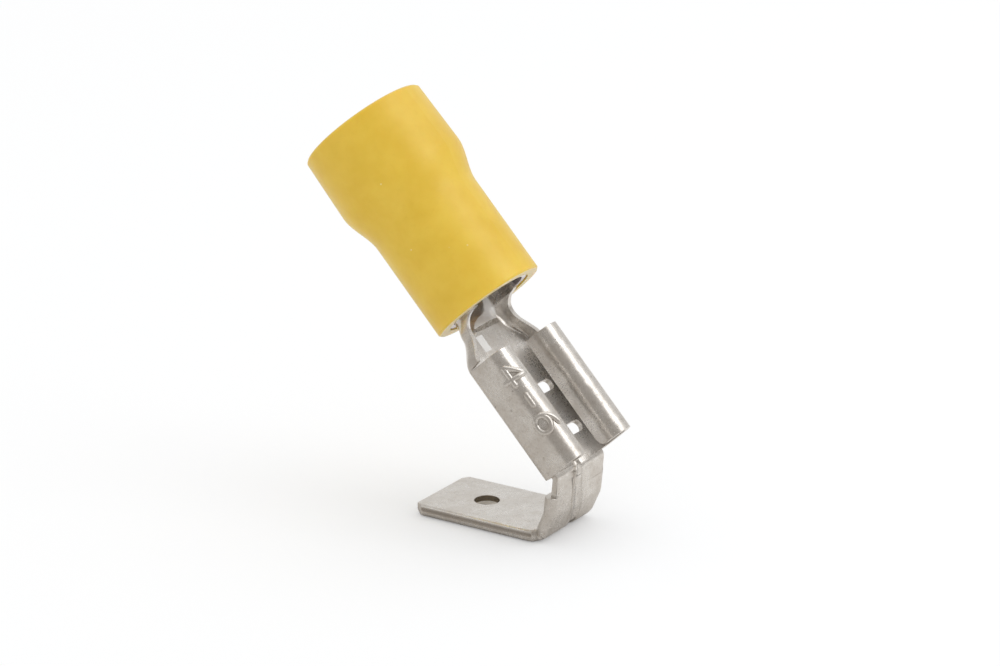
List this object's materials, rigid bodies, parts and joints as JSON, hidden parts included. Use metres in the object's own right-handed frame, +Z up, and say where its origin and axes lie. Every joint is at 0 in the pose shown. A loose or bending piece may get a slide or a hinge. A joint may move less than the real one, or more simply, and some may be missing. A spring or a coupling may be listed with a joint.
{
  "type": "female spade terminal",
  "caption": "Insulated push-on spade receptacle with rolled curls, crimp barrel and flared sleeve, and a folded male tab on its back for a second connector.",
  "frame": {"origin": "centre of the tab's hole, at the tab's underside", "axes": "+Z up off the tab, tab tip towards -X, +X towards the bend, Y across the width"},
  "size_m": [0.0215, 0.009, 0.0275],
  "materials": {
    "tinned_brass": "stamped brass sheet, dull tin plating",
    "tinned_tube": "thin drawn tube, bright tin plating",
    "yellow_pvc": "moulded soft PVC, satin yellow"
  },
  "bodies": {
    "root": {"terminal": "tinned_brass", "support_tube": "tinned_tube", "insulation_sleeve": "yellow_pvc"}
  },
  "joints": []
}
